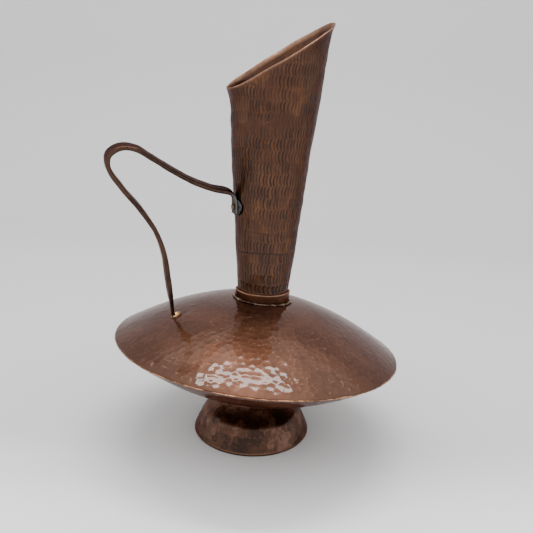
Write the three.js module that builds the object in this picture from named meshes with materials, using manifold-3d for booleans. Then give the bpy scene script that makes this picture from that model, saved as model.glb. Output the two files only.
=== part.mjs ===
// Hammered copper water jug with a flat, disc-like body, a bell foot, a tall chased neck cut off at a
// slant for pouring, and a forged strap handle. Millimetres, +Z up, +X the way it pours.
// The origin is the middle of the foot, on the surface the jug stands on.

import * as THREE from 'three';
import { mergeVertices } from 'three/addons/utils/BufferGeometryUtils.js';
import Module from 'manifold-3d';

// ---- Driving dimensions ------------------------------------------------------------------------

const BODY_RADIUS = 110;
const RIM_HEIGHT = 75.5;
const DOME_RISE = 37.2;
const DOME_POWER = 1.85;
const CROWN_DIP = 2.4;
const CROWN_RADIUS = 46;
const BOWL_DEPTH = 42.3;
const BOWL_POWER = 1.95;
const SHEET = 1.2;
const GAP = 0.3;

const FOOT_RADIUS = 46.4;
const FOOT_FLANGE = 6;
const FOOT_EDGE = 1.8;
const WAIST_RADIUS = 24.8;
const WAIST_HEIGHT = 31;

const NECK_SHEET = 1.1;
const NECK_BASE_HEIGHT = 105.5;
const NECK_BASE_RADIUS = 18.67;
const NECK_TAPER = 0.094;
const NECK_BASE_SHIFT = 4.85;
const MOUTH_HEIGHT = 288.3;
const MOUTH_SLOPE = THREE.MathUtils.degToRad(34.8);
const LIP_FLARE = 2;
const LIP_LENGTH = 13;

const COLLAR_TOP = 117.6;
const COLLAR_THICKNESS = 1.4;
const COLLAR_BEVEL = 0.5;
const SOLDER_WIDTH = 2.2;
const SOLDER_HEIGHT = 1.4;

const STRAP_WIDTH = 9.5;
const STRAP_THICKNESS = 3.1;
const TAB_THICKNESS = 2;
const POINT_WIDTH = 2.6;
const POINT_THICKNESS = 1.8;
const RIVET_HEIGHT = 182;
const RIVET_RADIUS = 1.3;
const RIVET_HEAD_RADIUS = 2.6;

// The body is set a little askew on the foot, and the neck leans less than the body does.
const BODY_SHIFT = 2.2;
const BODY_LEAN = THREE.MathUtils.degToRad(4.4);
const NECK_LEAN = THREE.MathUtils.degToRad(1.1);
const HANDLE_TURN = THREE.MathUtils.degToRad(3);
const HANDLE_PIVOT = 6;
// The strap leans out of its plane, its +Y edge higher than its -Y edge wherever it runs level.
const STRAP_LEAN = THREE.MathUtils.degToRad(20);

const ROUND_SEGMENTS = 48;
const CURVE_STEPS = 4;

// Where the neck's wall stands under the handle, at a height above the ground, in the handle's frame.
const WALL_SLOPE = Math.tan(NECK_LEAN) - NECK_TAPER;
const WALL_TILT = Math.atan(-WALL_SLOPE);

function wallAt(height) {
  return NECK_BASE_SHIFT - HANDLE_PIVOT - NECK_BASE_RADIUS + WALL_SLOPE * (height - NECK_BASE_HEIGHT);
}

// ---- Frames: each leaning assembly has its own group -----------------------------------------------

const jug = new THREE.Group();

const bodyGroup = new THREE.Group();
bodyGroup.position.set(BODY_SHIFT, 0, RIM_HEIGHT);
bodyGroup.rotation.y = BODY_LEAN;

const neckGroup = new THREE.Group();
neckGroup.position.set(NECK_BASE_SHIFT, 0, NECK_BASE_HEIGHT);
neckGroup.rotation.y = NECK_LEAN;

const handleGroup = new THREE.Group();
handleGroup.position.x = HANDLE_PIVOT;
handleGroup.rotation.z = HANDLE_TURN;

// The rivet's own frame has +Z pointing out of the neck's wall, from the wall's outside.
const rivetGroup = new THREE.Group();
rivetGroup.position.set(wallAt(RIVET_HEIGHT), 0, RIVET_HEIGHT);
rivetGroup.rotation.y = -Math.PI / 2 - WALL_TILT;

jug.add(bodyGroup, neckGroup, handleGroup);
handleGroup.add(rivetGroup);
jug.updateMatrixWorld(true);

// A geometry made in one group's frame, carried into another's.
function moved(geometry, from, to) {
  const matrix = to.matrixWorld.clone().invert().multiply(from.matrixWorld);
  return geometry.clone().applyMatrix4(matrix);
}

// ---- Solids ------------------------------------------------------------------------------------

const wasm = await Module();
wasm.setup();

// A plain indexed geometry with only positions, shared vertices merged and empty triangles dropped.
function welded(geometry) {
  const bare = geometry.clone();
  bare.deleteAttribute('normal');
  bare.deleteAttribute('uv');
  const merged = mergeVertices(bare, 1e-4);
  const index = Array.from(merged.index.array);
  const kept = [];
  for (let i = 0; i < index.length; i += 3) {
    const [a, b, c] = index.slice(i, i + 3);
    if (a !== b && b !== c && c !== a) kept.push(a, b, c);
  }
  merged.setIndex(kept);
  return merged;
}

function toManifold(geometry) {
  const solid = welded(geometry);
  return new wasm.Manifold(new wasm.Mesh({
    numProp: 3,
    vertProperties: new Float32Array(solid.attributes.position.array),
    triVerts: new Uint32Array(solid.index.array),
  }));
}

function toGeometry(manifold) {
  const mesh = manifold.getMesh();
  const geometry = new THREE.BufferGeometry();
  geometry.setAttribute('position', new THREE.BufferAttribute(mesh.vertProperties, 3));
  geometry.setIndex(new THREE.BufferAttribute(mesh.triVerts, 1));
  return geometry;
}

function subtract(geometry, ...tools) {
  const cut = tools.reduce((rest, tool) => rest.subtract(toManifold(tool)), toManifold(geometry));
  return toGeometry(cut);
}

function intersect(geometry, other) {
  return toGeometry(toManifold(geometry).intersect(toManifold(other)));
}

// Turns a closed outline of [radius, height] pairs about +Z.
function turned(outline, segments = ROUND_SEGMENTS) {
  const points = outline.map(([radius, height]) => new THREE.Vector2(radius, height));
  return new THREE.LatheGeometry(points, segments).rotateX(Math.PI / 2);
}

// The points of `line` moved sideways by `distance`, to the left of its direction.
function offsetLine(line, distance) {
  return line.map(([radius, height], i) => {
    const before = line[Math.max(i - 1, 0)];
    const after = line[Math.min(i + 1, line.length - 1)];
    const along = new THREE.Vector2(after[0] - before[0], after[1] - before[1]).normalize();
    return [radius - along.y * distance, height + along.x * distance];
  });
}

// A closed outline of sheet metal: the outer line, then back along the inner one.
function sheetOutline(outer, thickness) {
  const inner = offsetLine(outer, thickness).reverse();
  return [...outer, ...inner, outer[0]];
}

function pathPoints(path) {
  return path.getPoints(CURVE_STEPS).map((point) => [point.x, point.y]);
}

// Numbers from `start` to `end`, both included.
function steps(start, end, count) {
  return Array.from({ length: count + 1 }, (_, i) => start + (end - start) * i / count);
}

// ---- Body: two raised shells meeting at the rim --------------------------------------------------

const SEAM_HALF = 0.6;

// Height above the rim plane of the outside of the body.
function domeHeight(radius) {
  const dip = CROWN_DIP * (1 - THREE.MathUtils.smoothstep(radius, 0, CROWN_RADIUS));
  return DOME_RISE * (1 - (radius / BODY_RADIUS) ** DOME_POWER) - dip;
}

function bowlHeight(radius) {
  return -BOWL_DEPTH * (1 - (radius / BODY_RADIUS) ** BOWL_POWER);
}

// Radius at which a shell's outside comes within `height` of the rim plane.
function shellEdge(height, rise, power) {
  return BODY_RADIUS * (1 - height / rise) ** (1 / power);
}

const SHELL_STEPS = 11;
const SHELL_EDGE = SEAM_HALF + GAP;

// The inner side of a shell whose outer line runs from the axis to the rim or back.
function shellLining(outer, heightAtAxis, heightAtRim) {
  return offsetLine(outer, SHEET).map(([radius, height], i) => {
    if (outer[i][0] === 0) return [0, heightAtAxis];
    const atRim = i === 0 || i === outer.length - 1;
    return atRim ? [radius, heightAtRim] : [radius, height];
  }).reverse();
}

function lowerShell() {
  const edge = shellEdge(SHELL_EDGE, BOWL_DEPTH, BOWL_POWER);
  const outer = steps(0, edge, SHELL_STEPS).map((radius) => [radius, bowlHeight(radius)]);
  return turned([...outer, ...shellLining(outer, bowlHeight(0) + SHEET, -SHELL_EDGE)]);
}

function upperShell() {
  const edge = shellEdge(SHELL_EDGE, DOME_RISE, DOME_POWER);
  const outer = steps(edge, 0, SHELL_STEPS).map((radius) => [radius, domeHeight(radius)]);
  const lining = shellLining(outer, domeHeight(0) - SHEET, SHELL_EDGE);
  return subtract(turned([...lining, ...outer]), moved(neckEnvelope(GAP), neckGroup, bodyGroup));
}

// The seam fills the joint between the two edges and stands just proud of it.
function rimSeam() {
  const inside = BODY_RADIUS - 3;
  const outside = BODY_RADIUS - SEAM_HALF;
  const outline = new THREE.Path();
  outline.moveTo(inside, -SEAM_HALF);
  outline.lineTo(outside, -SEAM_HALF);
  outline.absarc(outside, 0, SEAM_HALF, -Math.PI / 2, Math.PI / 2, false);
  outline.lineTo(inside, SEAM_HALF);
  outline.lineTo(inside, -SEAM_HALF);
  return turned(pathPoints(outline));
}

// A solid that holds the whole body and `clearance` around it, for scribing what meets the body.
function bodyEnvelope(clearance) {
  const radii = steps(0, BODY_RADIUS, SHELL_STEPS);
  const bottom = radii.map((radius) => [radius, bowlHeight(radius) - clearance]);
  const top = radii.map((radius) => [radius, domeHeight(radius) + clearance]).reverse();
  return turned([...bottom, ...top]);
}

// ---- Foot: a raised bell, open below, with its edge turned in to stand on --------------------------

function footLine() {
  const line = new THREE.Path();
  line.moveTo(FOOT_RADIUS - FOOT_FLANGE, 0);
  line.lineTo(FOOT_RADIUS - FOOT_EDGE, 0);
  line.quadraticCurveTo(FOOT_RADIUS, 0, FOOT_RADIUS, FOOT_EDGE);
  line.bezierCurveTo(45, 5.5, 41.6, 13.2, 38.6, 18);
  line.bezierCurveTo(36.8, 20.8, WAIST_RADIUS + 1.8, 24.5, WAIST_RADIUS, WAIST_HEIGHT);
  return pathPoints(line);
}

// Height above the waist that is surely inside the bowl all round.
const WELL_INTO_BOWL = 9;

function foot() {
  const outer = [...footLine(), [WAIST_RADIUS, WAIST_HEIGHT + WELL_INTO_BOWL]];
  return subtract(turned(sheetOutline(outer, SHEET)), moved(bodyEnvelope(GAP), bodyGroup, jug));
}

// Fillet of braze in the corner between the foot's waist and the bowl above it.
function footBraze() {
  const inside = WAIST_RADIUS + GAP;
  const outside = inside + 5;
  const low = WAIST_HEIGHT + 0.8;
  const high = WAIST_HEIGHT + WELL_INTO_BOWL;
  const outline = [[inside, low], [inside + 1, low], [inside + 1.9, low + 2], [outside, low + 3.4],
    [outside, high], [inside, high], [inside, low]];
  return subtract(turned(outline), moved(bodyEnvelope(GAP), bodyGroup, jug));
}

// ---- Neck: a rolled and tapered tube, its mouth cut at a slant and flared a little ------------------

// Outside radius of the plain taper at `height` above the neck's lower end.
function neckRadius(height) {
  return NECK_BASE_RADIUS + NECK_TAPER * height;
}

// Height of the mouth's edge above the neck's lower end, in the direction whose cosine towards
// +X is `towardsPour`. The mouth's plane cuts the taper.
function mouthHeight(towardsPour) {
  const middle = MOUTH_HEIGHT - NECK_BASE_HEIGHT;
  const slope = Math.tan(MOUTH_SLOPE + NECK_LEAN) * towardsPour;
  return (middle + slope * NECK_BASE_RADIUS) / (1 - slope * NECK_TAPER);
}

// Parts of the way up at which the wall has a ring of points: closer together where the lip flares.
const NECK_RINGS = [0, 0.35, 0.7, 0.86, 0.92, 0.96, 0.985, 1];

function neckWall(thickness) {
  const line = NECK_RINGS.map((part) => [NECK_BASE_RADIUS, part]);
  const outline = [...line, ...line.map(([radius, part]) => [radius - thickness, part]).reverse(), line[0]];
  const wall = turned(outline);
  const place = wall.attributes.position;
  for (let i = 0; i < place.count; i += 1) {
    const [x, y, part] = [place.getX(i), place.getY(i), place.getZ(i)];
    const unit = Math.hypot(x, y);
    const top = mouthHeight(x / unit);
    const height = part * top;
    const lip = Math.max(0, 1 - (top - height) / LIP_LENGTH);
    const radius = unit + NECK_TAPER * height + LIP_FLARE * lip ** 2;
    place.setXYZ(i, x / unit * radius, y / unit * radius, height);
  }
  return wall;
}

function neck() {
  return subtract(neckWall(NECK_SHEET), moved(rivetHole(), rivetGroup, neckGroup));
}

// The taper as a solid, `clearance` larger than the neck's outside.
function neckEnvelope(clearance, low = -20, high = 60) {
  const [bottom, top] = [low, high].map((height) => [neckRadius(height) + clearance, height]);
  return turned([[0, low], bottom, top, [0, high]]);
}

// Where the collar and its solder start, in the neck's frame: below the dome's surface all round.
const COLLAR_ROOT = -6;

// Plain sleeve at the neck's lower end, its lower edge scribed to the dome.
function collar() {
  const low = COLLAR_ROOT;
  const high = COLLAR_TOP - NECK_BASE_HEIGHT;
  const inside = [low, high].map((height) => [neckRadius(height) + GAP, height]);
  const outside = inside.map(([radius, height]) => [radius + COLLAR_THICKNESS, height]);
  const edge = [[outside[1][0], high - COLLAR_BEVEL], [outside[1][0] - COLLAR_BEVEL, high]];
  const sleeve = turned([outside[0], ...edge, inside[1], inside[0], outside[0]]);
  return subtract(sleeve, moved(bodyEnvelope(GAP), bodyGroup, neckGroup));
}

// Low bead of solder round the collar, following the dome.
function collarSolder() {
  const high = COLLAR_TOP - NECK_BASE_HEIGHT;
  const inside = neckRadius(high / 2) + 2 * GAP + COLLAR_THICKNESS;
  const outside = inside + SOLDER_WIDTH;
  const ring = turned([[inside, COLLAR_ROOT], [outside, COLLAR_ROOT], [outside, high], [inside, high],
    [inside, COLLAR_ROOT]]);
  const bead = intersect(ring, moved(bodyEnvelope(GAP + SOLDER_HEIGHT), bodyGroup, neckGroup));
  return subtract(bead, moved(bodyEnvelope(GAP), bodyGroup, neckGroup));
}

// Bead of braze up the butt joint of the rolled sheet, on the neck's +Y side.
function neckSeam() {
  const width = 1.6;
  const height = 0.5;
  const clear = 2;
  const low = COLLAR_TOP - NECK_BASE_HEIGHT + clear;
  const high = mouthHeight(0) - LIP_LENGTH;
  const section = new THREE.Shape();
  section.moveTo(-width / 2, 0);
  section.lineTo(width / 2, 0);
  section.quadraticCurveTo(width / 2, height, 0, height);
  section.quadraticCurveTo(-width / 2, height, -width / 2, 0);
  const bead = new THREE.ExtrudeGeometry(section, {
    depth: (high - low) / Math.cos(Math.atan(NECK_TAPER)), bevelEnabled: false, curveSegments: 3,
  });
  bead.rotateX(-Math.atan(NECK_TAPER));
  bead.translate(0, neckRadius(low) + GAP, low);
  return bead;
}

// ---- Handle: a forged strap, flattened to a tab at the neck and drawn to a point at the dome --------

const TAB_LOW = 177;
const TAB_HIGH = 188;
const tabAt = (height) => wallAt(height) - GAP - TAB_THICKNESS / 2;

// In the handle's own frame, from the tab's lower end up, out round the knee and down to the dome.
const HANDLE_ROUTE = [
  [tabAt(TAB_LOW), TAB_LOW], [tabAt(RIVET_HEIGHT), RIVET_HEIGHT], [tabAt(TAB_HIGH), TAB_HIGH],
  [-30.9, 192.7], [-44.8, 195.7], [-59.9, 200.8], [-73.5, 207.4], [-89.2, 216.3], [-99.4, 221.6],
  [-109.1, 222.1], [-116.9, 216.9], [-117.1, 208.7], [-108.9, 196.1], [-95.8, 180.4],
  [-85.1, 163.9], [-79.5, 147.2], [-77.4, 133.1], [-75.2, 118.1], [-72.8, 101.5],
];
const STRAP_STEPS = 110;

// Half the strap's width and thickness at `along`, from 0 at the tab to 1 at the point.
function strapHalfSize(along) {
  const thinned = 1 - THREE.MathUtils.smoothstep(along, 0.03, 0.07);
  const pointed = THREE.MathUtils.smoothstep(along, 0.9, 1);
  const width = THREE.MathUtils.lerp(STRAP_WIDTH, POINT_WIDTH, pointed);
  const forged = THREE.MathUtils.lerp(STRAP_THICKNESS, TAB_THICKNESS, thinned);
  const thickness = THREE.MathUtils.lerp(forged, POINT_THICKNESS, pointed);
  return [width / 2, thickness / 2];
}

// A straight bar bent along the handle's curve, larger than the strap by `clearance` all round.
function bentStrap(clearance = 0) {
  const corner = 0.25;
  const section = new THREE.Shape([
    [-1, corner - 1], [corner - 1, -1], [1 - corner, -1], [1, corner - 1],
    [1, 1 - corner], [1 - corner, 1], [corner - 1, 1], [-1, 1 - corner],
  ].map(([x, y]) => new THREE.Vector2(x, y)));
  const bar = new THREE.ExtrudeGeometry(section, { depth: 1, steps: STRAP_STEPS, bevelEnabled: false });
  const route = HANDLE_ROUTE.map(([x, z]) => new THREE.Vector3(x, 0, z));
  const curve = new THREE.CatmullRomCurve3(route);
  const place = bar.attributes.position;
  for (let i = 0; i < place.count; i += 1) {
    const along = place.getZ(i);
    const [halfWidth, halfThickness] = strapHalfSize(along);
    const tangent = curve.getTangentAt(along);
    const across = new THREE.Vector3(0, 1, 0).applyAxisAngle(tangent, STRAP_LEAN * tangent.x);
    const spot = curve.getPointAt(along)
      .addScaledVector(across, place.getX(i) * (halfWidth + clearance))
      .addScaledVector(tangent.clone().cross(across), place.getY(i) * (halfThickness + clearance))
      .addScaledVector(tangent, (2 * along - 1) * clearance);
    place.setXYZ(i, spot.x, spot.y, spot.z);
  }
  return bar;
}

function handle() {
  return subtract(bentStrap(), moved(bodyEnvelope(GAP), bodyGroup, handleGroup),
    moved(rivetHole(), rivetGroup, handleGroup));
}

// ---- What fastens the handle -----------------------------------------------------------------------

const SHANK_LOW = -NECK_SHEET - GAP;
const SHANK_HIGH = TAB_THICKNESS + 2 * GAP;

function rivetHole() {
  const radius = RIVET_RADIUS + GAP;
  const reach = 5;
  return turned([[0, -reach], [radius, -reach], [radius, reach], [0, reach]], 12);
}

// A rivet through the tab and the neck's wall, with a round head outside and a flat one inside.
function handleRivet() {
  const innerHead = 0.9;
  const outerHead = 1.4;
  const outline = [
    [0, SHANK_LOW - innerHead], [RIVET_HEAD_RADIUS * 0.77, SHANK_LOW - innerHead],
    [RIVET_HEAD_RADIUS * 0.88, SHANK_LOW], [RIVET_RADIUS, SHANK_LOW], [RIVET_RADIUS, SHANK_HIGH],
    [RIVET_HEAD_RADIUS, SHANK_HIGH], [RIVET_HEAD_RADIUS * 0.85, SHANK_HIGH + outerHead * 0.57],
    [RIVET_HEAD_RADIUS * 0.45, SHANK_HIGH + outerHead * 0.93], [0, SHANK_HIGH + outerHead],
  ];
  return turned(outline, 16);
}

// Solder run round the tab, on the neck's wall: a band round the neck, cut to an oval patch.
function handleSolder() {
  const middle = 182;
  const thickness = 1;
  const [halfWidth, halfHeight] = [6.3, 8.4];
  const [low, high] = [-1, 1].map((side) => middle + side * 1.5 * halfHeight - NECK_BASE_HEIGHT);
  const inside = [low, high].map((height) => [neckRadius(height) + GAP, height]);
  const outside = inside.map(([radius, height]) => [radius + thickness, height]);
  const band = turned([outside[0], outside[1], inside[1], inside[0], outside[0]], ROUND_SEGMENTS * 2);
  const reach = 40;
  const patch = new THREE.CylinderGeometry(1, 1, reach, 24);
  patch.scale(halfWidth, 1, halfHeight);
  patch.rotateZ(Math.PI / 2);
  patch.rotateX(Math.PI / 2);
  patch.translate(-reach / 2 - HANDLE_PIVOT, 0, middle);
  return subtract(intersect(moved(band, neckGroup, handleGroup), patch), bentStrap(GAP));
}

// Lump of braze that holds the handle's point to the dome, lying along the dome's slope.
function handleBraze() {
  const domeSlope = -0.45;
  const lump = new THREE.SphereGeometry(1, 16, 10);
  lump.rotateX(Math.PI / 2);
  lump.scale(4.2, 3, 2.4);
  lump.rotateY(domeSlope);
  lump.translate(-70.8, 0, 102.4);
  return subtract(lump, moved(bodyEnvelope(GAP), bodyGroup, handleGroup), bentStrap(GAP));
}

// ---- Materials --------------------------------------------------------------------------------------

function metal(name, color, roughness) {
  return new THREE.MeshStandardMaterial({ name, color, roughness, metalness: 1 });
}

const planishedCopper = metal('planished_copper', 0x8a5040, 0.28);
const chasedCopper = metal('chased_copper', 0x7a4a30, 0.45);
const footCopper = metal('foot_copper', 0x6e4632, 0.4);
const forgedCopper = metal('forged_copper', 0x5a3c2c, 0.4);
const brightBraze = metal('bright_braze', 0xc08850, 0.35);
const solder = metal('solder', 0x6c6660, 0.45);

// ---- Assembly ---------------------------------------------------------------------------------------

function addPiece(group, name, geometry, material) {
  const solid = geometry.index ? geometry : welded(geometry);
  solid.computeVertexNormals();
  const mesh = new THREE.Mesh(solid, material);
  mesh.name = name;
  group.add(mesh);
}

addPiece(jug, 'foot', foot(), footCopper);
addPiece(jug, 'foot_braze', footBraze(), brightBraze);

addPiece(bodyGroup, 'lower_shell', lowerShell(), planishedCopper);
addPiece(bodyGroup, 'upper_shell', upperShell(), planishedCopper);
addPiece(bodyGroup, 'rim_seam', rimSeam(), brightBraze);

addPiece(neckGroup, 'neck', neck(), chasedCopper);
addPiece(neckGroup, 'neck_seam', neckSeam(), brightBraze);
addPiece(neckGroup, 'neck_collar', collar(), planishedCopper);
addPiece(neckGroup, 'collar_solder', collarSolder(), solder);

addPiece(handleGroup, 'handle', handle(), forgedCopper);
addPiece(handleGroup, 'handle_solder', handleSolder(), solder);
addPiece(handleGroup, 'handle_braze', handleBraze(), brightBraze);
addPiece(rivetGroup, 'handle_rivet', handleRivet(), forgedCopper);

export default jug;
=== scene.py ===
"""Visual model of a hammered copper water jug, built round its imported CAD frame.

The frame's axes are used throughout: +Z up, +X the way the jug pours, the origin in the middle of the
foot on the floor. Lengths are in metres, so the driving dimensions below are written as N * MM.
"""
import math

import bpy
import numpy as np
from mathutils import Matrix, Vector, kdtree


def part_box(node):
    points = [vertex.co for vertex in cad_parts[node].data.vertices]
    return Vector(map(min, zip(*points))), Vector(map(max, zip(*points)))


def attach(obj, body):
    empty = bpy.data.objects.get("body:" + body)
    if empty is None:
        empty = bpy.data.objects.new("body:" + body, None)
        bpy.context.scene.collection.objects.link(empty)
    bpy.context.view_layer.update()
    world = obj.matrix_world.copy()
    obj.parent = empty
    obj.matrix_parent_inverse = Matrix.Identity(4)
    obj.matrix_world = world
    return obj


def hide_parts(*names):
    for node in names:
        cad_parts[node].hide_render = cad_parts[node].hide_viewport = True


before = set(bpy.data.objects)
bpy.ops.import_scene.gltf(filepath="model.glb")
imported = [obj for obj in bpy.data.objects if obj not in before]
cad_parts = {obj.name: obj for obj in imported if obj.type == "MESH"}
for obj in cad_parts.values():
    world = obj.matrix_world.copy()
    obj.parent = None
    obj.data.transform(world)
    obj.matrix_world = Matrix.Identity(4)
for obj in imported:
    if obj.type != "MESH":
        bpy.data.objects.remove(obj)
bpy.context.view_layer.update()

MM = 0.001
TURN = 2 * math.pi

# ---- Driving dimensions ---------------------------------------------------------------------------
# The formulas of the sheet-metal forms. Their places and main sizes are measured on the frame.

DOME_POWER = 1.85
CROWN_DIP = 2.4 * MM
CROWN_RADIUS = 46 * MM
BOWL_POWER = 1.95
SHEET = 1.2 * MM

FOOT_RING = 6 * MM
FOOT_EDGE = 1.8 * MM
FLARE_RADIUS = 38.6 * MM
FLARE_HEIGHT = 18 * MM
WAIST_RADIUS = 24.8 * MM
WAIST_HEIGHT = 31 * MM

NECK_SHEET = 1.1 * MM
NECK_TAPER = 0.094
MOUTH_SLOPE = math.radians(34.8)
LIP_FLARE = 2 * MM
LIP_LENGTH = 13 * MM
COLLAR_THICKNESS = 1.4 * MM
COLLAR_EDGE = 0.5 * MM
GAP = 0.3 * MM

# The planishing marks on the body and foot: how far apart they are, the radius of a mark's dish and
# how softly two marks meet. Nearer the axis than SMOOTH_CROWN they get shallower.
BODY_FACET = 5.4 * MM
FOOT_FACET = 4.9 * MM
FACET_DISH = 36 * MM
FACET_ROUNDING = 0.016 * MM
RIDGE_RISE = 0.03 * MM
SMOOTH_CROWN = 65 * MM

# The chased strokes on the neck. In the row next to the collar they are wider apart.
STROKE_SPACING = 2.5 * MM
STROKE_ROW = 8.2 * MM
STROKE_DEPTH = 0.28 * MM
STROKE_WIDTH = 0.26
FIRST_ROW_SPACING = 1.35

# Light: a strip overhead, and a white room that is brighter behind the jug.
STRIP_LENGTH = 0.8
STRIP_WIDTH = 0.1
STRIP_HEIGHT = 1.2
STRIP_BEHIND = 0.13
STRIP_WATTS = 7
ROOM_FRONT = 1.4
ROOM_REAR = 1.98

CAMERA_PLACE = Vector((-154.3, -372.0, 227.6)) * MM
CAMERA_TURN = math.radians(23.5)
CAMERA_PITCH = math.radians(12.85)
CAMERA_ROLL = math.radians(2.57)
CAMERA_LENS_MM = 36.07


# ---- Measuring the frame --------------------------------------------------------------------------

def cad_points(node):
    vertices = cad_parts[node].data.vertices
    points = np.empty(len(vertices) * 3, np.float32)
    vertices.foreach_get("co", points)
    return points.reshape(-1, 3).astype(float)


class Axis:
    """The frame of a turned form, with z along its axis, fitted to a flat ring of points round it."""

    def __init__(self, ring):
        self.origin = ring.mean(axis=0)
        up = np.linalg.svd(ring - self.origin, full_matrices=False)[2][2]
        up = up * np.sign(up[2])
        across = np.cross(up, (1.0, 0.0, 0.0))
        across = across / np.linalg.norm(across)
        self.axes = np.stack([np.cross(across, up), across, up])
        self.radius = np.linalg.norm(self.to_local(ring)[:, :2], axis=1).max()

    def to_local(self, points):
        return (points - self.origin) @ self.axes.T

    def to_frame(self, points):
        return points @ self.axes + self.origin


def foot_axis():
    """The foot's axis: upright, through the middle of the foot, from the floor."""
    low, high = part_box("foot")
    middle = (np.array(low) + np.array(high)) / 2
    angle = np.arange(4) * TURN / 4
    radius = (high[0] - low[0]) / 2
    return Axis(np.stack([middle[0] + radius * np.cos(angle), middle[1] + radius * np.sin(angle),
                          np.full(4, low[2])], axis=-1))


def base_ring(node):
    """The points at a node's lower end."""
    depth = 5 * MM
    points = cad_points(node)
    return points[points[:, 2] < points[:, 2].min() + depth]


BODY = Axis(cad_points("rim_seam"))
NECK = Axis(base_ring("neck"))
FOOT = foot_axis()


def crown_dip(radius):
    """How far the dome is let down at a radius: most on its axis, nothing from CROWN_RADIUS on."""
    share = np.clip(radius / CROWN_RADIUS, 0, 1)
    return CROWN_DIP * (1 - share ** 2 * (3 - 2 * share))


def rise_of(node, power):
    """Height on the axis, with no dip, of the shell that goes through a node."""
    points = BODY.to_local(cad_points(node))
    far = np.abs(points[:, 2]).argmax()
    radius = np.linalg.norm(points[far, :2])
    height = points[far, 2]
    return (height + (height > 0) * crown_dip(radius)) / (1 - (radius / BODY.radius) ** power)


DOME_RISE = rise_of("upper_shell", DOME_POWER)
BOWL_RISE = rise_of("lower_shell", BOWL_POWER)


def body_height(radius, rise, power):
    """Height of a shell above the rim's plane. Only the shell that rises has a dip at its crown."""
    return rise * (1 - (radius / BODY.radius) ** power) - (rise > 0) * crown_dip(radius)


# ---- Lines and surfaces ---------------------------------------------------------------------------

def polar(radius, angle, height):
    radius, angle, height = np.broadcast_arrays(radius, angle, height)
    return np.stack([radius * np.cos(angle), radius * np.sin(angle), height], axis=-1)


def line_lengths(line):
    return np.concatenate([[0.0], np.cumsum(np.linalg.norm(np.diff(line, axis=0), axis=1))])


def spaced(line, spacing):
    """The line's points again, at an even spacing along it."""
    lengths = line_lengths(line)
    places = np.linspace(0, lengths[-1], max(2, round(lengths[-1] / spacing) + 1))
    return np.stack([np.interp(places, lengths, line[:, axis]) for axis in (0, 1)], axis=-1)


def bezier(points, count=24):
    start, first, second, end = (np.array(point) for point in points)
    t = np.linspace(0, 1, count)[:, None]
    inward = 3 * (1 - t) ** 2 * t * first + 3 * (1 - t) * t ** 2 * second
    return (1 - t) ** 3 * start + inward + t ** 3 * end


def line_normals(line):
    """Normals on the right of the line's direction, which is outside when an outline runs upwards."""
    along = np.gradient(line, axis=0)
    along /= np.linalg.norm(along, axis=1)[:, None]
    return np.stack([along[:, 1], -along[:, 0]], axis=-1)


def turned(axis, line, columns):
    """Points and normals of the line turned about the axis, as (along the line, round the axis, xyz)."""
    angle = np.arange(columns) * TURN / columns
    normal = line_normals(line)
    points = polar(line[:, :1], angle, line[:, 1:])
    normals = polar(normal[:, :1], angle, normal[:, 1:])
    return axis.to_frame(points), normals @ axis.axes


def waves(points, wavelength, rng):
    """Smooth random heights, mostly between -1 and 1, with about the given wavelength."""
    count = 14
    heading = rng.normal(size=(count, 3))
    heading /= np.linalg.norm(heading, axis=1)[:, None]
    length = wavelength * rng.uniform(0.6, 1.6, count)
    phase = rng.uniform(0, TURN, count)
    return np.sin(points @ (heading * TURN / length[:, None]).T + phase).sum(axis=-1) / math.sqrt(count)


# ---- Tool marks -----------------------------------------------------------------------------------

def blows(axis, line, spacing, rng):
    """Where the planishing hammer fell: rings of blows, a little out of step, round a turned form."""
    row_step = 0.87 * spacing
    unevenness, sideways = 0.16, 0.14
    lengths = line_lengths(line)
    marks = []
    for place in np.arange(0, lengths[-1] + spacing, row_step):
        radius = np.interp(place, lengths, line[:, 0])
        height = np.interp(place, lengths, line[:, 1])
        count = max(3, round(TURN * radius / spacing))
        angle = (np.arange(count) + rng.uniform() + rng.normal(0, unevenness, count)) * TURN / count
        wander = rng.normal(0, sideways * spacing, count)
        marks.append(axis.to_frame(polar(radius + wander, angle, np.full(count, height))))
    return np.concatenate(marks)


def facets(points, marks, rng):
    """For each point its height in its hammer mark, how near it is to the ridges between two marks, where
    the materials paint a highlight, and the mark's own tone from 0 to 1, since patina comes and goes mark
    by mark."""
    deepest, most_tilt, nearest = 0.04 * MM, 0.012, 4
    tree = kdtree.KDTree(len(marks))
    for i, mark in enumerate(marks):
        tree.insert(mark, i)
    tree.balance()
    flat = points.reshape(-1, 3)
    found = [tree.find_n(point, nearest) for point in flat]
    index = np.array([[hit[1] for hit in hits] for hits in found])
    distance = np.array([[hit[2] for hit in hits] for hits in found])
    curve = FACET_DISH * rng.uniform(0.75, 1.5, len(marks))
    depth = rng.uniform(0, deepest, len(marks))
    tilt = rng.normal(0, most_tilt, (len(marks), 3))
    slope = ((flat[:, None] - marks[index]) * tilt[index]).sum(axis=-1)
    height = distance ** 2 / (2 * curve[index]) - depth[index] + slope
    lowest = height.min(axis=1)
    overlap = np.exp((lowest[:, None] - height) / FACET_ROUNDING).sum(axis=1)
    soft = lowest - FACET_ROUNDING * np.log(overlap)
    second = np.sort(height, axis=1)[:, 1]
    # Nearness to the ridges between marks, which the materials paint as a highlight.
    ridge_highlight = np.exp(-(second - lowest) / RIDGE_RISE)
    own_mark = index[np.arange(len(flat)), height.argmin(axis=1)]
    patches = 0.32 * waves(marks, 30 * MM, rng)
    tone = np.clip(0.5 + patches + rng.normal(0, 0.09, len(marks)), 0, 1)
    shape = points.shape[:2]
    return (soft - soft.mean()).reshape(shape), ridge_highlight.reshape(shape), tone[own_mark].reshape(shape)


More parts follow.
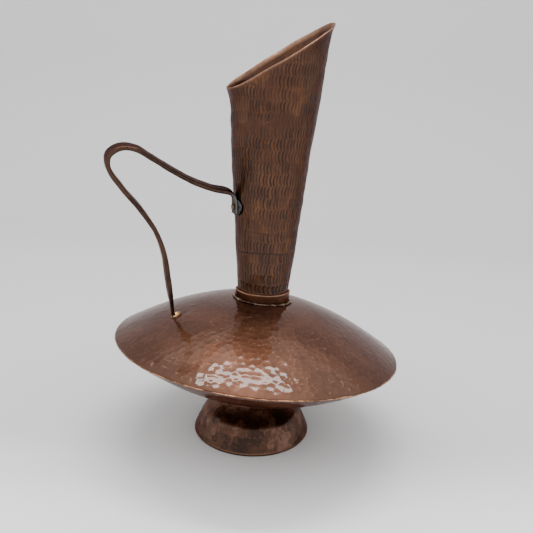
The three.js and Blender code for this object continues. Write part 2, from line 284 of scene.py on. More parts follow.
def strokes(angle, height, radius, rng):
    """Depth (0 to 1) of the chasing at places on the neck: rows of short upright cuts, bowed like an
    opening bracket, set foot to foot so that they run on as wavy lines. `height` starts at the collar."""
    rows = int(height.max() / STROKE_ROW) + 2
    wobble = 0.1 * np.sin(3 * angle + 1.0) + 0.05 * np.sin(7 * angle + height / (25 * MM))
    row_place = height / STROKE_ROW + wobble
    row = np.clip(np.floor(row_place).astype(int), 0, rows - 1)
    across = 2 * (row_place - row) - 1
    row_radius = np.interp((np.arange(rows) + 0.5) * STROKE_ROW, height[:, 0], radius[:, 0])
    spacing = np.where(np.arange(rows) == 0, FIRST_ROW_SPACING, 1.0) * STROKE_SPACING
    counts = np.round(TURN * row_radius / spacing).astype(int)
    most = counts.max()
    start = rng.normal(0, 0.12, rows)
    shift = rng.normal(0, 0.10, (rows, most))
    lean = rng.normal(0, 0.07, (rows, most))
    force = rng.uniform(0.6, 1.0, (rows, most))
    bow = 0.42 * (1 - across ** 2)
    place = (angle / TURN + 0.25) * counts[row] + start[row] + bow
    depth = np.zeros_like(place)
    for step in (0, 1):
        number = np.floor(place) + step
        which = number.astype(int) % counts[row]
        aside = place - number - shift[row, which] - lean[row, which] * across
        depth = np.maximum(depth, force[row, which] * np.exp(-(aside / STROKE_WIDTH) ** 2))
    ends = 1 - 0.45 * np.clip((np.abs(across) - 0.75) * 4, 0, 1)
    first = np.where(row == 0, 1.7 * np.clip((0.85 - np.abs(across)) * 6, 0, 1), 1.0)
    return depth * ends * first


def scribed_lines(angle, height, rng):
    """Depth (0 to 1) of a few shallow, broken rings left by the compass that set out the rows."""
    line_width = 0.45 * MM
    depth = np.zeros_like(height)
    for level, strength in ((31 * MM, 1.0), (46 * MM, 0.6), (72 * MM, 0.45), (97 * MM, 0.45)):
        middle, half = rng.uniform(-2.2, -1.0), rng.uniform(0.7, 1.3)
        drift = 1.1 * MM * np.sin(2 * angle + rng.uniform(0, TURN))
        aside = np.angle(np.exp(1j * (angle - middle)))
        fade = np.clip((half - np.abs(aside)) * 4, 0, 1)
        line = np.exp(-((height - level - drift) / line_width) ** 2)
        depth = np.maximum(depth, strength * fade * line)
    return depth


# ---- Meshes ---------------------------------------------------------------------------------------

def add_piece(name, node, mesh, material, values=()):
    """Puts a finished mesh into the scene in place of its CAD node."""
    for key, numbers in dict(values).items():
        mesh.attributes.new(key, "FLOAT", "POINT").data.foreach_set("value", numbers.ravel())
    mesh.polygons.foreach_set("use_smooth", np.ones(len(mesh.polygons), bool))
    mesh.materials.clear()
    mesh.materials.append(material)
    piece = bpy.data.objects.new(name, mesh)
    bpy.context.scene.collection.objects.link(piece)
    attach(piece, "root")
    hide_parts(node)
    return piece


def ring_mesh(name, rings, capped=False):
    """A closed mesh from rings of points. The last ring joins the first, or each end gets a cap."""
    rows, columns = rings.shape[:2]
    row, column = np.meshgrid(np.arange(rows - capped), np.arange(columns), indexing="ij")
    corners = [(row, column), (row, column + 1), (row + 1, column + 1), (row + 1, column)]
    faces = np.stack([(r % rows) * columns + c % columns for r, c in corners], axis=-1).reshape(-1, 4)
    uv = np.stack([np.stack([c / columns, r / rows], axis=-1) for r, c in corners], axis=-2)
    points = rings.reshape(-1, 3)
    faces = faces.tolist()
    uv = uv.reshape(-1, 2)
    if capped:
        first, last = len(points), len(points) + 1
        points = np.concatenate([points, rings[[0, -1]].mean(axis=1)])
        end = (rows - 1) * columns
        turns = [(i, (i + 1) % columns) for i in range(columns)]
        faces += [[first, j, i] for i, j in turns] + [[last, end + i, end + j] for i, j in turns]
        caps = [(c / columns, r / rows) for r in (0, rows - 1)
                for i in range(columns) for c in (i + 0.5, i, i + 1)]
        uv = np.concatenate([uv, caps])
    mesh = bpy.data.meshes.new(name)
    mesh.from_pydata(points.tolist(), [], faces)
    mesh.uv_layers.new(name="OFBake").data.foreach_set("uv", uv.ravel())
    return mesh


def with_inner(values, rows):
    """Values on an outer surface, carried on as zeros over the rows of the inner one."""
    return np.concatenate([values, np.zeros((rows, values.shape[1]))])


def worked_mesh(name, node, voxel, swell, rough, wavelength, seed):
    """A finer copy of a CAD node with its edges softened and its surface left uneven."""
    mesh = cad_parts[node].data.copy()
    scratch = bpy.data.objects.new("scratch", mesh)
    bpy.context.scene.collection.objects.link(scratch)
    remesh = scratch.modifiers.new("remesh", "REMESH")
    remesh.mode = "VOXEL"
    remesh.voxel_size = voxel
    soften = scratch.modifiers.new("soften", "SMOOTH")
    soften.iterations = 3
    graph = bpy.context.evaluated_depsgraph_get()
    mesh = bpy.data.meshes.new_from_object(scratch.evaluated_get(graph))
    mesh.name = name
    bpy.data.objects.remove(scratch)
    points, normals = (np.empty(len(mesh.vertices) * 3, np.float32) for _ in range(2))
    mesh.vertices.foreach_get("co", points)
    mesh.vertices.foreach_get("normal", normals)
    points, normals = points.reshape(-1, 3).astype(float), normals.reshape(-1, 3)
    rng = np.random.default_rng(seed)
    lumps = waves(points, wavelength, rng) + 0.5 * waves(points, wavelength / 2.3, rng)
    points = points + normals * (swell + rough * lumps)[:, None]
    mesh.vertices.foreach_set("co", points.ravel())
    mesh.update()
    return mesh


# ---- Materials ------------------------------------------------------------------------------------

class Finish:
    """One procedural material: short calls that add a node, link it and give back its output."""

    def __init__(self, name):
        self.material = bpy.data.materials.new(name)
        self.material.use_nodes = True
        self.tree = self.material.node_tree
        self.shader = self.tree.nodes["Principled BSDF"]
        self.place = self.tree.nodes.new("ShaderNodeTexCoord").outputs["Object"]

    def node(self, kind, settings=(), inputs=()):
        node = self.tree.nodes.new(kind)
        for key, value in dict(settings).items():
            setattr(node, key, value)
        for key, value in dict(inputs).items():
            self.feed(node.inputs[key], value)
        return node

    def feed(self, socket, value):
        if isinstance(value, bpy.types.NodeSocket):
            self.tree.links.new(value, socket)
        else:
            socket.default_value = value

    def value(self, key):
        return self.node("ShaderNodeAttribute", {"attribute_name": key}).outputs["Fac"]

    def noise(self, size, detail=4.0, roughness=0.6, distortion=0.0):
        """Cloudy noise from 0 to 1, whose blotches are about `size` across."""
        return self.node("ShaderNodeTexNoise", inputs={
            "Vector": self.place, "Scale": 1 / size, "Detail": detail,
            "Roughness": roughness, "Distortion": distortion}).outputs["Fac"]

    def specks(self, size):
        """Distance to the nearest of scattered points, about 0 at a point and 1 away from it."""
        return self.node("ShaderNodeTexVoronoi", inputs={
            "Vector": self.place, "Scale": 1 / size}).outputs["Distance"]

    def ramp(self, value, low, high, start=0.0, end=1.0):
        """`start` where the value is below `low`, `end` above `high`, and smooth between."""
        return self.node("ShaderNodeMapRange", {"interpolation_type": "SMOOTHSTEP"}, {
            "Value": value, "From Min": low, "From Max": high, "To Min": start, "To Max": end,
        }).outputs["Result"]

    def math(self, operation, first, second):
        node = self.node("ShaderNodeMath", {"operation": operation})
        self.feed(node.inputs[0], first)
        self.feed(node.inputs[1], second)
        return node.outputs["Value"]

    def mix(self, amount, under, over):
        node = self.node("ShaderNodeMix", {"data_type": "RGBA"})
        self.feed(node.inputs["Factor"], amount)
        self.feed(node.inputs["A"], under if isinstance(under, bpy.types.NodeSocket) else (*under, 1))
        self.feed(node.inputs["B"], over if isinstance(over, bpy.types.NodeSocket) else (*over, 1))
        return node.outputs["Result"]

    def bumps(self, *layers):
        """Normal from layers of (height from 0 to 1, depth in metres), one on another."""
        normal = None
        for height, depth in layers:
            inputs = {"Height": height, "Distance": depth, "Strength": 1.0}
            if normal is not None:
                inputs["Normal"] = normal
            normal = self.node("ShaderNodeBump", inputs=inputs).outputs["Normal"]
        return normal

    def set(self, **inputs):
        for key, value in inputs.items():
            self.feed(self.shader.inputs[key.replace("_", " ")], value)
        return self.material


COPPER_DARK = (0.045, 0.016, 0.008)
COPPER_BROWN = (0.104, 0.045, 0.026)
COPPER_RED = (0.132, 0.058, 0.036)
# Bright copper is used for wear and for the painted highlight on the ridges; the grime and tarnish colours
# for real dirt and stains, and for painted shade.
COPPER_BRIGHT = (0.42, 0.22, 0.14)
EDGE_TINT = (0.42, 0.28, 0.21, 1)
GRIME_AND_SHADE = (0.018, 0.009, 0.006)
TARNISH_AND_SHADE = (0.045, 0.022, 0.014)
DUST = (0.34, 0.29, 0.24)
GREY_SOLDER = (0.085, 0.085, 0.085)


def planished_copper():
    """Lacquered, planished copper: reddish brown with darker clouds and a painted highlight on the ridges,
    painted shade next to the collar and the foot, and a stain by the handle's braze.
    """
    finish = Finish("planished_copper")
    clouds = finish.ramp(finish.noise(34 * MM, detail=5), 0.36, 0.66)
    mottle = finish.ramp(finish.noise(5 * MM, detail=6, roughness=0.7), 0.35, 0.75)
    colour = finish.mix(clouds, COPPER_BROWN, COPPER_RED)
    colour = finish.mix(finish.math("MULTIPLY", mottle, 0.3), colour, COPPER_DARK)
    tone = finish.ramp(finish.value("tone"), 0.1, 0.9, 0.42, 0.0)
    colour = finish.mix(tone, colour, COPPER_DARK)
    # Painted highlight: the ridges between marks are lightened towards bright copper.
    ridge_highlight = finish.ramp(finish.value("ridge_highlight"), 0.4, 0.95, 0.0, 0.6)
    ridge_highlight = finish.math("MULTIPLY", ridge_highlight, finish.ramp(mottle, 0.0, 1.0, 0.45, 1.0))
    colour = finish.mix(ridge_highlight, colour, COPPER_BRIGHT)
    ragged = finish.math("ADD", finish.value("worn"), finish.math("MULTIPLY", mottle, 0.3))
    colour = finish.mix(finish.ramp(ragged, 0.75, 1.15), colour, COPPER_BRIGHT)
    # Painted shade where the shell meets the collar or the foot, and the stain by the handle's braze.
    colour = finish.mix(finish.ramp(finish.value("shade_and_stain"), 0.2, 1.0, 0.0, 0.85), colour, TARNISH_AND_SHADE)
    pits = finish.noise(0.9 * MM, detail=3)
    rough = finish.ramp(finish.noise(9 * MM, detail=6), 0.3, 0.75, 0.40, 0.52)
    return finish.set(
        Base_Color=colour, Metallic=1.0, Roughness=rough, Specular_Tint=EDGE_TINT,
        Coat_Weight=0.6, Coat_IOR=1.38, Coat_Roughness=0.07,
        Normal=finish.bumps((pits, 0.02 * MM), (finish.noise(3.2 * MM), 0.05 * MM)))


def chased_copper():
    """Chased copper: warm brown, dark in the strokes, with patches of patina, faint pale specks, and
    painted shade inside the neck and along the collar's foot.
    """
    finish = Finish("chased_copper")
    clouds = finish.ramp(finish.noise(20 * MM, detail=6, distortion=0.5), 0.38, 0.62)
    warm = finish.ramp(finish.noise(13 * MM, detail=7, roughness=0.65, distortion=0.8), 0.5, 0.64)
    mottle = finish.ramp(finish.noise(2.4 * MM, detail=7, roughness=0.75), 0.35, 0.7)
    colour = finish.mix(clouds, (0.062, 0.024, 0.012), (0.088, 0.035, 0.016))
    colour = finish.mix(finish.math("MULTIPLY", warm, 0.6), colour, (0.130, 0.050, 0.017))
    colour = finish.mix(finish.math("MULTIPLY", mottle, 0.4), colour, COPPER_DARK)
    # Grime in the strokes, and painted shade inside the neck and along the collar's foot.
    groove_and_shade = finish.ramp(finish.value("groove_and_shade"), 0.05, 0.7, 0.0, 0.9)
    colour = finish.mix(groove_and_shade, colour, GRIME_AND_SHADE)
    dust = finish.math("MULTIPLY", finish.ramp(finish.specks(2.4 * MM), 0.10, 0.22, 1.0, 0.0),
                       finish.ramp(finish.noise(14 * MM), 0.56, 0.72, 0.0, 0.3))
    colour = finish.mix(dust, colour, DUST)
    worn = finish.math("MULTIPLY", finish.value("worn"), finish.ramp(mottle, 0.0, 1.0, 0.9, 0.45))
    colour = finish.mix(worn, colour, (0.36, 0.20, 0.13))
    rough = finish.ramp(finish.math("ADD", finish.noise(6 * MM, detail=6), finish.value("groove_and_shade")),
                        0.3, 1.4, 0.34, 0.55)
    return finish.set(
        Base_Color=colour, Metallic=1.0, Roughness=rough, Specular_Tint=EDGE_TINT,
        Coat_Weight=0.3, Coat_Roughness=0.12,
        Normal=finish.bumps((finish.noise(0.8 * MM, detail=4), 0.05 * MM),
                            (finish.noise(3.0 * MM), 0.10 * MM)))


def foot_copper():
    """The foot's copper: darker, and mark by mark either worn to a pale brown or thick with patina, with a
    painted highlight on the ridges and painted shade at its top under the bowl.
    """
    finish = Finish("foot_copper")
    fray = finish.ramp(finish.noise(2.4 * MM, detail=6, roughness=0.7), 0.2, 0.8, -0.16, 0.16)
    ragged = finish.math("ADD", finish.value("tone"), fray)
    colour = finish.mix(finish.ramp(ragged, 0.34, 0.52), (0.024, 0.009, 0.004), (0.056, 0.022, 0.011))
    colour = finish.mix(finish.ramp(ragged, 0.60, 0.78), colour, (0.115, 0.055, 0.035))
    redness = finish.ramp(finish.noise(9 * MM, detail=5), 0.55, 0.7, 0.0, 0.5)
    colour = finish.mix(redness, colour, (0.13, 0.05, 0.032))
    # Painted highlight on the ridges between marks.
    ridge_highlight = finish.ramp(finish.value("ridge_highlight"), 0.5, 1.0, 0.0, 0.3)
    colour = finish.mix(ridge_highlight, colour, (0.24, 0.14, 0.09))
    worn = finish.ramp(finish.value("worn"), 0.5, 1.0, 0.0, 0.7)
    colour = finish.mix(worn, colour, (0.19, 0.095, 0.055))
    # Painted shade at the foot's top, under the bowl.
    colour = finish.mix(finish.ramp(finish.value("shade_and_stain"), 0.1, 1.0, 0.0, 0.9), colour, GRIME_AND_SHADE)
    rough = finish.ramp(finish.noise(7 * MM, detail=6), 0.3, 0.7, 0.34, 0.5)
    return finish.set(
        Base_Color=colour, Metallic=1.0, Roughness=rough, Specular_Tint=EDGE_TINT,
        Coat_Weight=0.3, Coat_Roughness=0.06,
        Normal=finish.bumps((finish.noise(1.1 * MM, detail=4), 0.05 * MM)))


def forged_copper():
    """The handle: dark brown forge scale in lighter clouds, with black flakes, and grey near its rivet."""
    finish = Finish("forged_copper")
    clouds = finish.ramp(finish.noise(18 * MM, detail=6), 0.4, 0.65)
    colour = finish.mix(clouds, (0.026, 0.012, 0.007), (0.060, 0.029, 0.018))
    flakes = finish.ramp(finish.noise(2.2 * MM, detail=6, roughness=0.75), 0.5, 0.72, 0.0, 0.6)
    colour = finish.mix(flakes, colour, (0.014, 0.007, 0.004))
    colour = finish.mix(finish.ramp(finish.value("soldered"), 0.15, 0.5), colour, GREY_SOLDER)
    rough = finish.ramp(finish.noise(4 * MM, detail=5), 0.3, 0.7, 0.26, 0.42)
    return finish.set(
        Base_Color=colour, Metallic=1.0, Roughness=rough, Specular_Tint=EDGE_TINT,
        Coat_Weight=0.2, Coat_Roughness=0.3,
        Normal=finish.bumps((finish.noise(1.2 * MM, detail=5), 0.08 * MM)))


def metal_joint(name, dark, light, stain, patch, rough_range):
    """Metal run into a joint: two tones in patches, and stains of flux or tarnish over them."""
    finish = Finish(name)
    clouds = finish.ramp(finish.noise(patch, detail=6, roughness=0.7), 0.38, 0.62)
    colour = finish.mix(clouds, dark, light)
    stains = finish.ramp(finish.noise(1.8 * patch, detail=6), 0.54, 0.68, 0.0, 0.75)
    colour = finish.mix(stains, colour, stain)
    rough = finish.ramp(finish.noise(0.4 * patch, detail=5), 0.3, 0.7, *rough_range)
    return finish.set(Base_Color=colour, Metallic=1.0, Roughness=rough,
                      Normal=finish.bumps((finish.noise(0.8 * MM, detail=4), 0.06 * MM)))


PLANISHED = planished_copper()
CHASED = chased_copper()
FOOT_METAL = foot_copper()
FORGED = forged_copper()
RIM_METAL = metal_joint("worn_rim", (0.17, 0.080, 0.045), (0.44, 0.235, 0.125),
                        COPPER_DARK, 5 * MM, (0.22, 0.4))
BRAZE = metal_joint("braze", (0.25, 0.125, 0.05), (0.56, 0.34, 0.15), TARNISH_AND_SHADE, 5 * MM, (0.2, 0.4))
PALE_SOLDER = metal_joint("pale_solder", (0.11, 0.058, 0.036), (0.30, 0.21, 0.155),
                          TARNISH_AND_SHADE, 4 * MM, (0.35, 0.6))
DARK_SOLDER = metal_joint("dark_solder", (0.045, 0.040, 0.036), GREY_SOLDER,
                          TARNISH_AND_SHADE, 4 * MM, (0.3, 0.5))


# ---- Body -----------------------------------------------------------------------------------------

def near(distance, reach):
    """1 where the distance is nothing, falling to 0 at the reach."""
    return np.clip(1 - distance / reach, 0, 1)


def middle_of(node):
    low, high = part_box(node)
    return (np.array(low) + np.array(high)) / 2


def shell_line(outer_radius, inner_radius, rise, power, spacing):
    radius = np.linspace(outer_radius, inner_radius, 400)
    return spaced(np.stack([radius, body_height(radius, rise, power)], axis=-1), spacing)


def shell(name, node, line, columns, seed, capped, worn_reach, shade_and_stain):
    """One planished half of the body. The line runs so that outside is on its right."""
    rng = np.random.default_rng(seed)
    points, normals = turned(BODY, line, columns)
    height, ridge_highlight, tone = facets(points, blows(BODY, line, BODY_FACET, rng), rng)
    radius = np.linalg.norm(BODY.to_local(points)[..., :2], axis=-1)
    height *= np.clip(radius / SMOOTH_CROWN, 0.35, 1)
    height += 0.08 * MM * waves(points, 55 * MM, rng)
    calm = near(BODY.radius - radius, 4 * MM)
    outer = points + normals * (height * (1 - calm))[..., None]
    inner_line = line[::-6] - line_normals(line)[::-6] * SHEET
    inner = turned(BODY, inner_line, columns)[0]
    rows = len(inner_line)
    values = {
        "ridge_highlight": with_inner(ridge_highlight * (1 - calm), rows),
        "worn": with_inner(near(BODY.radius - radius, worn_reach), rows),
        "shade_and_stain": with_inner(shade_and_stain(points, radius), rows),
        "tone": with_inner(tone, rows),
    }
    mesh = ring_mesh(name, np.concatenate([outer, inner]), capped)
    if capped:
        values = {key: np.append(numbers.ravel(), [0, 0]) for key, numbers in values.items()}
    return add_piece(name, node, mesh, PLANISHED, values)


def upper_shell():
    hole = NECK.radius + GAP
    line = shell_line(BODY.radius - 0.3 * MM, hole, DOME_RISE, DOME_POWER, 0.82 * MM)
    point = middle_of("handle_braze")

    # Painted shade on the dome round the collar, and a stain beside the handle's braze.
    def shade_and_stain(points, radius):
        stain = near(np.linalg.norm(points - point - (3 * MM, 2 * MM, 0), axis=-1), 10 * MM)
        return np.maximum(0.45 * near(radius - hole, 5 * MM), stain)

    return shell("dome_planished", "upper_shell", line, 700, 11, False, 1.3 * MM, shade_and_stain)


def lower_shell():
    line = shell_line(BODY.radius - 0.3 * MM, 1.2 * MM, BOWL_RISE, BOWL_POWER, 1.15 * MM)[::-1]
    # Painted shade on the bowl's underside round the foot.
    return shell("bowl_planished", "lower_shell", line, 480, 12, True, 0.9 * MM,
                 lambda points, radius: near(radius - WAIST_RADIUS, 24 * MM))


def rim():
    """The seam at the rim, filed and worn bright, not quite even."""
    rng = np.random.default_rng(13)
    columns, corners = 900, 12
    section = np.arange(corners)[:, None] * TURN / corners
    angle = np.arange(columns) * TURN / columns
    round_rim = polar(BODY.radius, angle, 0.0)
    size = 1 + 0.14 * waves(round_rim, 9 * MM, rng) + 0.1 * waves(round_rim, 30 * MM, rng)
    radius = BODY.radius - 1.1 * MM + 1.05 * MM * size * np.cos(section)
    height = 0.46 * MM * size * np.sin(section) + 0.12 * MM * waves(round_rim, 45 * MM, rng)
    mesh = ring_mesh("rim_worn", BODY.to_frame(polar(radius, angle, height)))
    return add_piece("rim_worn", "rim_seam", mesh, RIM_METAL)


# ---- Foot -----------------------------------------------------------------------------------------

def foot_line(radius):
    """The foot's outside, from the ring it stands on up to the bowl."""
    flat = radius - FOOT_EDGE
    ring = np.array([(radius - FOOT_RING, 0), (flat, 0)])
    edge = bezier([(flat, 0), (radius - FOOT_EDGE / 3, 0), (radius, FOOT_EDGE / 3), (radius, FOOT_EDGE)], 8)
    flare = bezier([(radius, FOOT_EDGE), (45 * MM, 5.5 * MM), (41.6 * MM, 13.2 * MM),
                    (FLARE_RADIUS, FLARE_HEIGHT)])
    shoulder = bezier([(FLARE_RADIUS, FLARE_HEIGHT), (36.8 * MM, 20.8 * MM),
                       (WAIST_RADIUS + 1.8 * MM, 24.5 * MM), (WAIST_RADIUS, WAIST_HEIGHT)])
    top = np.array([(WAIST_RADIUS, WAIST_HEIGHT + 7 * MM)])
    return np.concatenate([ring, edge[1:], flare[1:], shoulder[1:], top])


def under_bowl(points):
    """The points, with those that would stand inside the bowl brought down to its underside."""
    local = BODY.to_local(points)
    radius = np.linalg.norm(local[..., :2], axis=-1)
    local[..., 2] = np.minimum(local[..., 2], body_height(radius, BOWL_RISE, BOWL_POWER) - 0.05 * MM)
    return BODY.to_frame(local)


def foot():
    rng = np.random.default_rng(21)
    columns = 400
    low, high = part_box("foot")
    line = spaced(foot_line((high[0] - low[0]) / 2), 0.8 * MM)
    points, normals = turned(FOOT, line, columns)
    height, ridge_highlight, tone = facets(points, blows(FOOT, line, FOOT_FACET, rng), rng)
    height = 1.15 * height + 0.25 * MM * waves(points, 34 * MM, rng)
    level = points[..., 2]
    standing = near(level, 2.5 * MM)
    outer = under_bowl(points + normals * (height * (1 - standing))[..., None])
    inner_line = line[::-4] - line_normals(line)[::-4] * SHEET
    inner = under_bowl(turned(FOOT, inner_line, columns)[0])
    inner[..., 2] = np.maximum(inner[..., 2], SHEET)
    rows = len(inner_line)
    values = {
        "ridge_highlight": with_inner(ridge_highlight * (1 - standing), rows),
        "worn": with_inner(near(np.abs(level - 2 * MM), 2.2 * MM), rows),
        # Painted shade at the foot's top, under the bowl.
        "shade_and_stain": with_inner(near(WAIST_HEIGHT + 6 * MM - level, 13 * MM), rows),
        "tone": with_inner(tone, rows),
    }
    mesh = ring_mesh("foot_hammered", np.concatenate([outer, inner]))
    return add_piece("foot_hammered", "foot", mesh, FOOT_METAL, values)


# ---- Neck -----------------------------------------------------------------------------------------

def neck_radius(height):
    return NECK.radius + NECK_TAPER * height


def lip_flare(below):
    """How much the lip turns out at a distance below the mouth's edge."""
    return LIP_FLARE * near(below, LIP_LENGTH) ** 2


def mouth_height(angle):
    """Height of the mouth's edge above the neck's lower end: a slanting plane cuts the taper."""
    slope = math.tan(MOUTH_SLOPE + math.acos(min(1, NECK.axes[2][2])))
    tip = NECK.to_local(cad_points("neck"))[:, 2].max()
    middle = tip * (1 - slope * NECK_TAPER) - slope * NECK.radius
    facing = slope * np.cos(angle)
    return (middle + facing * NECK.radius) / (1 - facing * NECK_TAPER)


def neck():
    """The chased tube, from the outside's lower end over the mouth's edge and down the inside."""
    rng = np.random.default_rng(31)
    # The second value is the painted shade laid over the whole inside of the neck.
    columns, inside_shade = 380, 0.3
    angle = np.arange(columns) * TURN / columns
    wander = polar(1.0, angle, 0.0)
    top = mouth_height(angle) + 0.35 * MM * waves(wander, 0.9, rng)
    part = np.linspace(0, 1, 216)[:, None]
    height = part * top
    below = top - height
    radius = neck_radius(height) + lip_flare(below)
    collar_top = NECK.to_local(cad_points("neck_collar"))[:, 2].max()
    around = np.broadcast_to(angle, height.shape)
    plain = NECK.to_frame(polar(radius, angle, height))
    worn_smooth = np.clip(0.85 + 0.3 * waves(plain, 24 * MM, rng), 0.5, 1.0)
    groove_and_shade = worn_smooth * strokes(around, height - collar_top, radius, rng)
    groove_and_shade = np.maximum(groove_and_shade, scribed_lines(around, height - collar_top, rng))
    groove_and_shade *= np.clip(below / (4 * MM), 0, 1) * (height > collar_top)
    dents = 0.16 * MM * waves(plain, 16 * MM, rng) + 0.3 * MM * waves(plain, 60 * MM, rng)
    dents *= np.clip((height - collar_top) / (20 * MM), 0, 1)
    outer = polar(radius + dents - STROKE_DEPTH * groove_and_shade, angle, height)

    crown = outer[-1:].copy()
    crown[..., :2] *= 1 - NECK_SHEET / 2 / radius[-1:, :, None]
    crown[..., 2] += 0.4 * MM
    inner_part = np.linspace(1, 0, 44)[:, None]
    inner_height = inner_part * top
    inner_below = top - inner_height
    inner_radius = neck_radius(inner_height) + lip_flare(inner_below) - NECK_SHEET
    inner_plain = polar(inner_radius, angle, inner_height)
    echo = 0.16 * MM * waves(NECK.to_frame(inner_plain), 11 * MM, rng)
    inner = polar(inner_radius + echo * (inner_part < 0.97), angle, inner_height)

    rings = np.concatenate([outer, crown, inner])
    on_edge, on_inside = np.ones((1, columns)), np.ones_like(inner_height)
    # Grime in the strokes, and painted shade over the inside of the neck.
    values = {
        "groove_and_shade": np.concatenate([groove_and_shade, 0 * on_edge, inside_shade * on_inside]),
        "worn": np.concatenate([near(below, 1.1 * MM), on_edge, near(inner_below, 0.8 * MM)]),
    }
    mesh = ring_mesh("neck_chased", NECK.to_frame(rings))
    return add_piece("neck_chased", "neck", mesh, CHASED, values)


def height_over_dome(points):
    local = BODY.to_local(points)
    radius = np.linalg.norm(local[..., :2], axis=-1)
    return local[..., 2] - body_height(radius, DOME_RISE, DOME_POWER)


def collar():
    """The plain ring at the neck's lower end, its top edge rubbed bright, standing on the dome, with
    painted shade along its foot.
    """
    rng = np.random.default_rng(33)
    columns = 360
    angle = np.arange(columns) * TURN / columns
    top = NECK.to_local(cad_points("neck_collar"))[:, 2].max()
    inside = neck_radius(0) + 0.4 * GAP
    outside = inside + COLLAR_THICKNESS
    low = -height_over_dome(NECK.to_frame(polar(outside, angle, 0.0)))
    up = np.linspace(0, 1, 16)[:, None]
    wall = low + up * (top - COLLAR_EDGE - low)
    rings = [polar(outside + NECK_TAPER * wall, angle, wall)]
    for out, rise in ((0.88, 0.35), (0.62, 0.85), (0.3, 1.0), (0.0, 0.7)):
        height = top - COLLAR_EDGE + rise * COLLAR_EDGE
        rings.append(polar(inside + out * COLLAR_THICKNESS + NECK_TAPER * height, angle, height)[None])
    rings.append(polar(inside + NECK_TAPER * wall, angle, wall)[::-5])
    rings = np.concatenate(rings)
    uneven = 0.12 * MM * waves(rings, 14 * MM, rng)
    rings[..., 2] += uneven * (rings[..., 2] > top - 3 * MM)
    scale = 1 + 0.1 * MM * waves(rings, 20 * MM, rng) / outside
    rings[..., :2] *= scale[..., None]
    values = {
        # Painted shade along the collar's foot, where it stands on the dome.
        "groove_and_shade": 0.3 * near(rings[..., 2] - low, 3 * MM),
        "worn": near(top - rings[..., 2], 1.2 * MM),
    }
    mesh = ring_mesh("collar_plain", NECK.to_frame(rings))
    return add_piece("collar_plain", "neck_collar", mesh, CHASED, values)


# ---- Handle and joints ----------------------------------------------------------------------------

# Name, node, slot, material, then in mm: voxel, swell, roughness of form and its wavelength.
WORKED = (
    ("handle_forged", "handle", "handle_copper", FORGED, 0.42, 0.05, 0.07, 14),
    ("rivet_hammered", "handle_rivet", "handle_copper", PALE_SOLDER, 0.22, 0.0, 0.05, 2),
    ("tab_solder", "handle_solder", "solder", DARK_SOLDER, 0.35, 0.18, 0.14, 3.5),
    ("collar_fillet", "collar_solder", "solder", PALE_SOLDER, 0.35, -0.4, 0.2, 4.5),
    ("foot_fillet", "foot_braze", "braze", BRAZE, 0.5, 0.2, 0.22, 5),
    ("neck_bead", "neck_seam", "braze", BRAZE, 0.3, 0.28, 0.07, 3),
    ("point_braze", "handle_braze", "braze", BRAZE, 0.3, 0.1, 0.14, 3.2),
)


def joints():
    """The handle, its rivet and every joint, with the handle's tab greyed by the solder round it."""
    rivet = middle_of("handle_rivet")
    for seed, (name, node, slot, material, voxel, swell, rough, wavelength) in enumerate(WORKED, 41):
        mesh = worked_mesh(name, node, voxel * MM, swell * MM, rough * MM, wavelength * MM, seed=seed)
        values = {}
        if material is FORGED:
            points = np.array([vertex.co for vertex in mesh.vertices])
            values["soldered"] = near(np.linalg.norm(points - rivet, axis=1), 16 * MM)
        add_piece(name, node, mesh, material, values)


upper_shell()
lower_shell()
rim()
foot()
neck()
collar()
joints()


# ---- Floor, light and camera ----------------------------------------------------------------------

BEHIND = Vector((math.sin(CAMERA_TURN), math.cos(CAMERA_TURN), 0))
UP = Vector((0, 0, 1))
ASIDE = BEHIND.cross(UP)


def backdrop_material():
    """A pale grey, with painted light making the floor in front of the jug nearly white."""
    finish = Finish("pale_backdrop")
    place = finish.node("ShaderNodeVectorMath", {"operation": "DOT_PRODUCT"},
                        {0: finish.place, 1: tuple(BEHIND)}).outputs["Value"]
    # Painted light: the floor grows paler towards the camera in front of the jug.
    front_painted_light = finish.ramp(place, -0.125, -0.01, 1.0, 0.0)
    colour = finish.mix(front_painted_light, (0.67, 0.67, 0.67), (0.97, 0.97, 0.98))
    return finish.set(Base_Color=colour, Roughness=0.95, Metallic=0.0)


def backdrop():
    """A pale sweep: the floor, curving up into a wall behind the jug."""
    front, bend, bend_radius, wall_top, half_width = -2.0, 0.9, 0.5, 2.5, 4.0
    turn = [(bend + bend_radius * math.sin(a), bend_radius * (1 - math.cos(a)))
            for a in np.linspace(0, math.pi / 2, 16)]
    line = [(front, 0.0), *turn, (bend + bend_radius, wall_top)]
    points = [BEHIND * along + ASIDE * side * half_width + UP * height
              for along, height in line for side in (-1, 1)]
    faces = [(2 * i, 2 * i + 1, 2 * i + 3, 2 * i + 2) for i in range(len(line) - 1)]
    mesh = bpy.data.meshes.new("backdrop")
    mesh.from_pydata(points, [], faces)
    mesh.polygons.foreach_set("use_smooth", np.ones(len(faces), bool))
    mesh.materials.append(backdrop_material())
    floor = bpy.data.objects.new("backdrop", mesh)
    bpy.context.scene.collection.objects.link(floor)


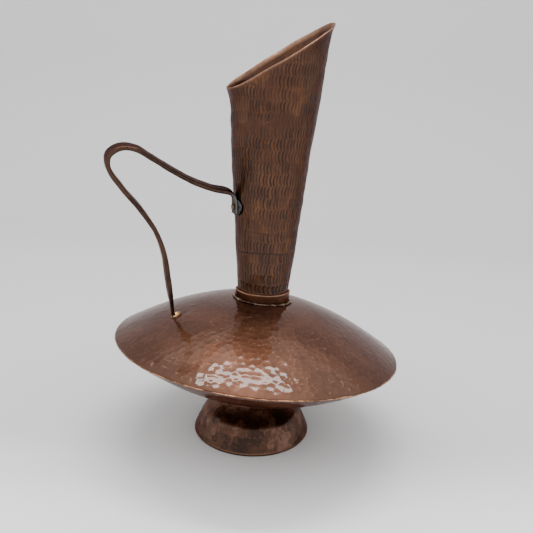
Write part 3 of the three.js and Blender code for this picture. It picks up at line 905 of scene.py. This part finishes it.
def strip_light():
    """A long strip of light overhead, square to the camera's view, a little behind the jug."""
    lamp = bpy.data.lights.new("strip", "AREA")
    lamp.shape = "RECTANGLE"
    lamp.size, lamp.size_y = STRIP_LENGTH, STRIP_WIDTH
    lamp.energy = STRIP_WATTS
    light = bpy.data.objects.new("strip", lamp)
    place = Matrix.Translation(BEHIND * STRIP_BEHIND + UP * STRIP_HEIGHT)
    light.matrix_world = place @ Matrix((ASIDE, UP.cross(ASIDE), UP)).transposed().to_4x4()
    bpy.context.scene.collection.objects.link(light)


def room():
    """Soft light from all round, dimmer on the camera's side."""
    world = bpy.data.worlds.new("room")
    world.use_nodes = True
    nodes, links = world.node_tree.nodes, world.node_tree.links
    background = nodes["Background"]
    direction = nodes.new("ShaderNodeTexCoord")
    facing = nodes.new("ShaderNodeVectorMath")
    facing.operation = "DOT_PRODUCT"
    facing.inputs[1].default_value = BEHIND
    strength = nodes.new("ShaderNodeMapRange")
    strength.inputs["From Min"].default_value = -1.0
    strength.inputs["To Min"].default_value = ROOM_FRONT
    strength.inputs["To Max"].default_value = ROOM_REAR
    links.new(direction.outputs["Generated"], facing.inputs[0])
    links.new(facing.outputs["Value"], strength.inputs["Value"])
    links.new(strength.outputs["Result"], background.inputs["Strength"])
    background.inputs["Color"].default_value = (1.0, 1.0, 1.0, 1)
    bpy.context.scene.world = world


def camera():
    """The camera, turned off the Y axis, looking down a little and rolled a little."""
    data = bpy.data.cameras.new("camera")
    data.lens = CAMERA_LENS_MM
    data.sensor_width = 36
    data.clip_start = 0.01
    eye = bpy.data.objects.new("camera", data)
    look = BEHIND * math.cos(CAMERA_PITCH) - UP * math.sin(CAMERA_PITCH)
    level = look.to_track_quat("-Z", "Y").to_matrix()
    roll = Matrix.Rotation(CAMERA_ROLL, 3, "Z")
    eye.matrix_world = Matrix.Translation(CAMERA_PLACE) @ (level @ roll).to_4x4()
    bpy.context.scene.collection.objects.link(eye)
    bpy.context.scene.camera = eye


backdrop()
room()
strip_light()
camera()
